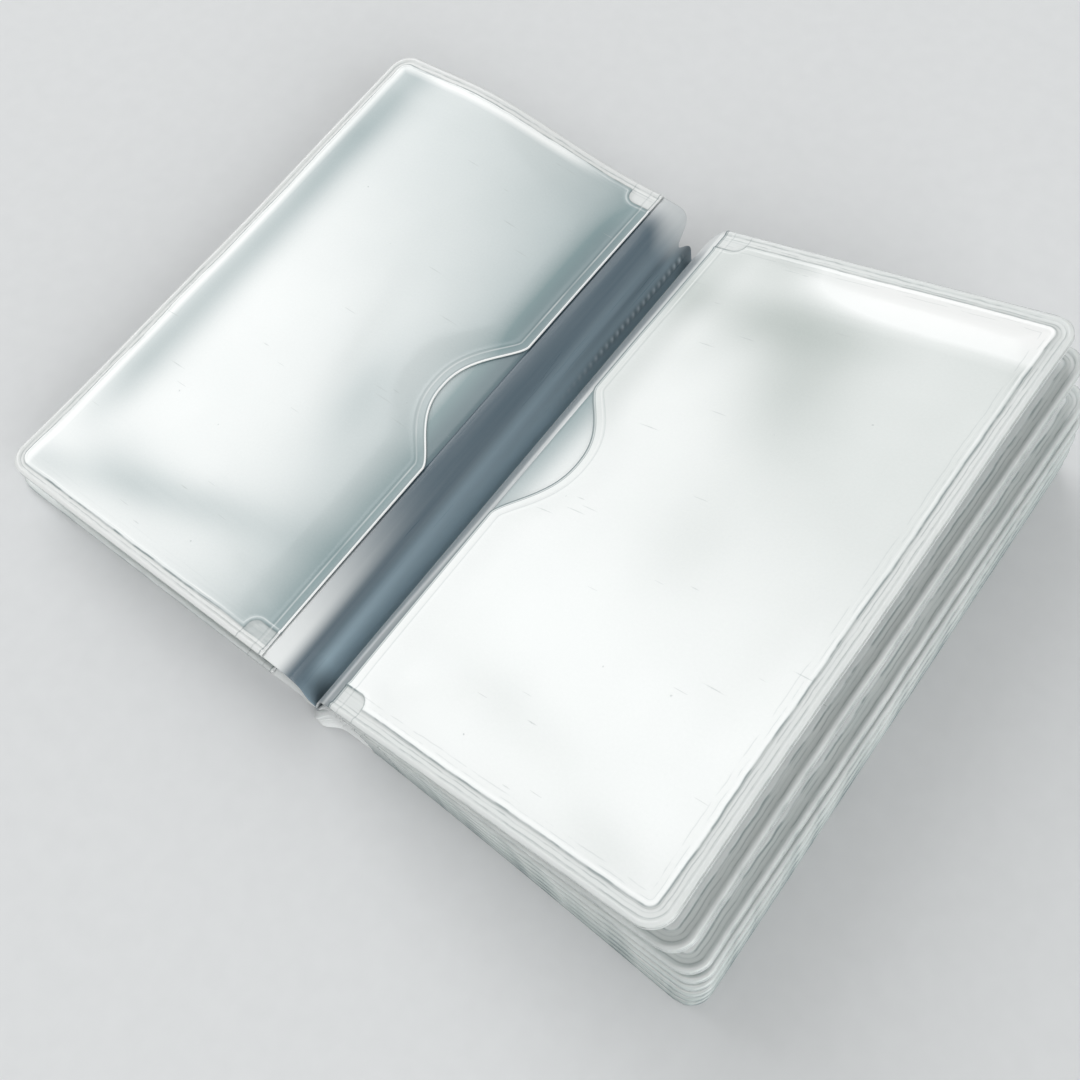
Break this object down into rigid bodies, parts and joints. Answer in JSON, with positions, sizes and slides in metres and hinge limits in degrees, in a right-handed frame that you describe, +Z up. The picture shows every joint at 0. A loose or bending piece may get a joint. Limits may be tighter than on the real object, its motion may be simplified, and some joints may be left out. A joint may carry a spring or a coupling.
{
  "type": "card pocket album",
  "caption": "Booklet of frosted clear vinyl card pockets welded along one spine, lying open, each leaf with a thumb-notched pocket on both faces.",
  "frame": {"origin": "middle of the open album's footprint, on the table under the spine", "axes": "+X towards the right-hand pages, +Y along the spine towards the top of the pages, +Z up from the table"},
  "size_m": [0.1338, 0.098, 0.0303],
  "materials": {
    "pocket_vinyl": "frosted clear vinyl film",
    "backing_vinyl": "frosted clear vinyl film",
    "welded_vinyl": "fused vinyl"
  },
  "bodies": {
    "spine": {"spine_weld": "welded_vinyl", "leaf_10_backing": "backing_vinyl", "leaf_10_front_pocket": "pocket_vinyl", "leaf_10_back_pocket": "pocket_vinyl", "leaf_01_web": "backing_vinyl", "leaf_02_web": "backing_vinyl", "leaf_03_web": "backing_vinyl", "leaf_04_web": "backing_vinyl", "leaf_05_web": "backing_vinyl", "leaf_06_web": "backing_vinyl", "leaf_07_web": "backing_vinyl", "leaf_08_web": "backing_vinyl", "leaf_09_web": "backing_vinyl", "leaf_10_web": "backing_vinyl"},
    "leaf_01": {"leaf_01_backing": "backing_vinyl", "leaf_01_front_pocket": "pocket_vinyl", "leaf_01_back_pocket": "pocket_vinyl"},
    "leaf_02": {"leaf_02_backing": "backing_vinyl", "leaf_02_front_pocket": "pocket_vinyl", "leaf_02_back_pocket": "pocket_vinyl"},
    "leaf_03": {"leaf_03_backing": "backing_vinyl", "leaf_03_front_pocket": "pocket_vinyl", "leaf_03_back_pocket": "pocket_vinyl"},
    "leaf_04": {"leaf_04_backing": "backing_vinyl", "leaf_04_front_pocket": "pocket_vinyl", "leaf_04_back_pocket": "pocket_vinyl"},
    "leaf_05": {"leaf_05_backing": "backing_vinyl", "leaf_05_front_pocket": "pocket_vinyl", "leaf_05_back_pocket": "pocket_vinyl"},
    "leaf_06": {"leaf_06_backing": "backing_vinyl", "leaf_06_front_pocket": "pocket_vinyl", "leaf_06_back_pocket": "pocket_vinyl"},
    "leaf_07": {"leaf_07_backing": "backing_vinyl", "leaf_07_front_pocket": "pocket_vinyl", "leaf_07_back_pocket": "pocket_vinyl"},
    "leaf_08": {"leaf_08_backing": "backing_vinyl", "leaf_08_front_pocket": "pocket_vinyl", "leaf_08_back_pocket": "pocket_vinyl"},
    "leaf_09": {"leaf_09_backing": "backing_vinyl", "leaf_09_front_pocket": "pocket_vinyl", "leaf_09_back_pocket": "pocket_vinyl"}
  },
  "joints": [
    {"name": "leaf_09_lift", "type": "hinge", "parent": "spine", "child": "leaf_09", "pos_m": [0.00319, 0, 0.00154], "axis": [0, 1, 0], "range_deg": [-28.1, 0], "deforming": ["leaf_09_web"]},
    {"name": "leaf_08_lift", "type": "hinge", "parent": "leaf_09", "child": "leaf_08", "pos_m": [0.00347, 0, 0.00394], "axis": [0, 1, 0], "range_deg": [-23, 0], "deforming": ["leaf_08_web"]},
    {"name": "leaf_07_lift", "type": "hinge", "parent": "leaf_08", "child": "leaf_07", "pos_m": [0.00463, 0, 0.0063], "axis": [0, 1, 0], "range_deg": [-21.9, 0], "deforming": ["leaf_07_web"]},
    {"name": "leaf_06_lift", "type": "hinge", "parent": "leaf_07", "child": "leaf_06", "pos_m": [0.0051, 0, 0.00875], "axis": [0, 1, 0], "range_deg": [-20.7, 0], "deforming": ["leaf_06_web"]},
    {"name": "leaf_05_lift", "type": "hinge", "parent": "leaf_06", "child": "leaf_05", "pos_m": [0.00594, 0, 0.0114], "axis": [0, 1, 0], "range_deg": [-19.8, 0], "deforming": ["leaf_05_web"]},
    {"name": "leaf_04_lift", "type": "hinge", "parent": "leaf_05", "child": "leaf_04", "pos_m": [0.00805, 0, 0.01743], "axis": [0, 1, 0], "range_deg": [-16.5, 0], "deforming": ["leaf_04_web"]},
    {"name": "leaf_03_turn", "type": "hinge", "parent": "leaf_04", "child": "leaf_03", "pos_m": [0.00084, 0, 0.00998], "axis": [0, -1, 0], "range_deg": [0, 137.5], "deforming": ["leaf_03_web"]},
    {"name": "leaf_01_close", "type": "hinge", "parent": "spine", "child": "leaf_01", "pos_m": [-0.00301, 0, 0.00489], "axis": [0, 1, 0], "range_deg": [0, 144], "deforming": ["leaf_01_web"]},
    {"name": "leaf_02_close", "type": "hinge", "parent": "spine", "child": "leaf_02", "pos_m": [-0.00168, 0, 0.01052], "axis": [0, 1, 0], "range_deg": [0, 152.9], "deforming": ["leaf_02_web"]}
  ],
  "couplings": [
    {"joint": "leaf_02_close", "follows": "leaf_01_close", "ratio": 1.0618}
  ]
}
